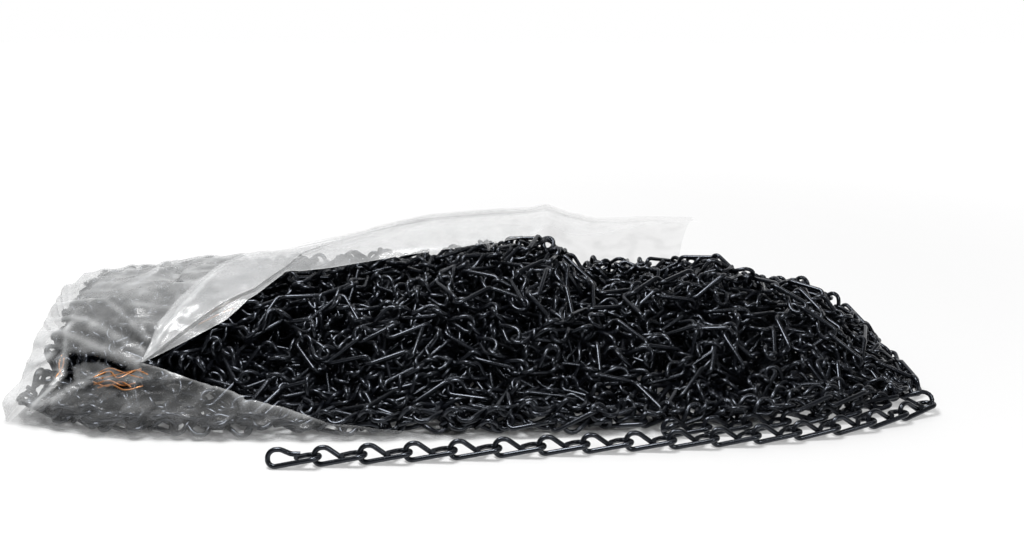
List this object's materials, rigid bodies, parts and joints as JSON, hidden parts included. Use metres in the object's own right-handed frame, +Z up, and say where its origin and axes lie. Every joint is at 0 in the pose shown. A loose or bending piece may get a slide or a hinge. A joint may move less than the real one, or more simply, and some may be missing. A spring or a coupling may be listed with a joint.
{
  "type": "bag of jack chain",
  "caption": "Slit clear film bag on its side, spilling a heap of black single jack chain with one hinged strand laid out in front.",
  "frame": {"origin": "middle of the underside of the whole object's bounding box, on the surface it lies on", "axes": "+Z up, +X from the bag's closed end towards the spilled end, -Y towards the laid-out strand"},
  "size_m": [0.548, 0.2876, 0.088],
  "materials": {
    "black_wire": "satin",
    "piled_chain": "satin",
    "clear_film": "gloss",
    "copper_wire": "satin"
  },
  "bodies": {
    "root": {"chain_heap": "piled_chain", "bag_bottom_panel": "clear_film", "bag_sleeve": "clear_film", "bag_upper_flap": "clear_film", "bag_turned_edge": "clear_film", "bag_lower_flap": "clear_film", "bag_end_wall": "clear_film", "bag_end_seal": "clear_film", "tie_wire_1": "copper_wire", "tie_wire_2": "copper_wire", "tie_wire_3": "copper_wire", "toe_link": "black_wire", "toe_run_1": "black_wire", "toe_run_2": "black_wire", "toe_run_3": "black_wire", "toe_run_4": "black_wire", "toe_run_5": "black_wire", "toe_run_6": "black_wire"},
    "link_01": {"link_01": "black_wire"},
    "link_02": {"link_02": "black_wire"},
    "link_03": {"link_03": "black_wire"},
    "link_04": {"link_04": "black_wire"},
    "link_05": {"link_05": "black_wire"},
    "link_06": {"link_06": "black_wire"},
    "link_07": {"link_07": "black_wire"},
    "link_08": {"link_08": "black_wire"},
    "link_09": {"link_09": "black_wire"},
    "link_10": {"link_10": "black_wire"},
    "link_11": {"link_11": "black_wire"},
    "link_12": {"link_12": "black_wire"},
    "link_13": {"link_13": "black_wire"},
    "link_14": {"link_14": "black_wire"},
    "link_15": {"link_15": "black_wire"}
  },
  "joints": [
    {"name": "link_15_swing", "type": "hinge", "parent": "root", "child": "link_15", "pos_m": [0.2469, -0.08808, 0.00503], "axis": [-0.1298, 0.2239, 0.9659], "range_deg": [0, 60]},
    {"name": "link_14_lift", "type": "hinge", "parent": "link_15", "child": "link_14", "pos_m": [0.22812, -0.09659, 0.00503], "axis": [-0.3001, 0.9181, -0.2588], "range_deg": [0, 55]},
    {"name": "link_13_swing", "type": "hinge", "parent": "link_14", "child": "link_13", "pos_m": [0.20303, -0.10479, 0.00503], "axis": [0.0804, -0.246, -0.9659], "range_deg": [-60, 0]},
    {"name": "link_12_lift", "type": "hinge", "parent": "link_13", "child": "link_12", "pos_m": [0.18304, -0.10981, 0.00503], "axis": [0.1694, -0.951, 0.2588], "range_deg": [-55, 0]},
    {"name": "link_11_swing", "type": "hinge", "parent": "link_12", "child": "link_11", "pos_m": [0.15705, -0.11444, 0.00503], "axis": [-0.0454, 0.2548, 0.9659], "range_deg": [0, 60]},
    {"name": "link_10_lift", "type": "hinge", "parent": "link_11", "child": "link_10", "pos_m": [0.13664, -0.11724, 0.00503], "axis": [-0.1026, 0.9605, -0.2588], "range_deg": [0, 55]},
    {"name": "link_09_swing", "type": "hinge", "parent": "link_10", "child": "link_09", "pos_m": [0.11039, -0.12004, 0.00503], "axis": [0.0275, -0.2574, -0.9659], "range_deg": [-60, 0]},
    {"name": "link_08_lift", "type": "hinge", "parent": "link_09", "child": "link_08", "pos_m": [0.08989, -0.12205, 0.00503], "axis": [0.0943, -0.9613, 0.2588], "range_deg": [-55, 0]},
    {"name": "link_07_swing", "type": "hinge", "parent": "link_08", "child": "link_07", "pos_m": [0.06362, -0.12463, 0.00503], "axis": [-0.0253, 0.2576, 0.9659], "range_deg": [0, 60]},
    {"name": "link_06_lift", "type": "hinge", "parent": "link_07", "child": "link_06", "pos_m": [0.04311, -0.12664, 0.00503], "axis": [-0.0943, 0.9613, -0.2588], "range_deg": [0, 55]},
    {"name": "link_05_swing", "type": "hinge", "parent": "link_06", "child": "link_05", "pos_m": [0.01684, -0.12922, 0.00503], "axis": [0.0253, -0.2576, -0.9659], "range_deg": [-60, 0]},
    {"name": "link_04_lift", "type": "hinge", "parent": "link_05", "child": "link_04", "pos_m": [-0.00366, -0.13123, 0.00503], "axis": [0.0943, -0.9613, 0.2588], "range_deg": [-55, 0]},
    {"name": "link_03_swing", "type": "hinge", "parent": "link_04", "child": "link_03", "pos_m": [-0.02994, -0.1338, 0.00503], "axis": [-0.0253, 0.2576, 0.9659], "range_deg": [0, 60]},
    {"name": "link_02_lift", "type": "hinge", "parent": "link_03", "child": "link_02", "pos_m": [-0.05044, -0.13581, 0.00503], "axis": [-0.0943, 0.9613, -0.2588], "range_deg": [0, 55]},
    {"name": "link_01_swing", "type": "hinge", "parent": "link_02", "child": "link_01", "pos_m": [-0.07671, -0.13839, 0.00503], "axis": [0.0253, -0.2576, -0.9659], "range_deg": [-60, 0]}
  ]
}
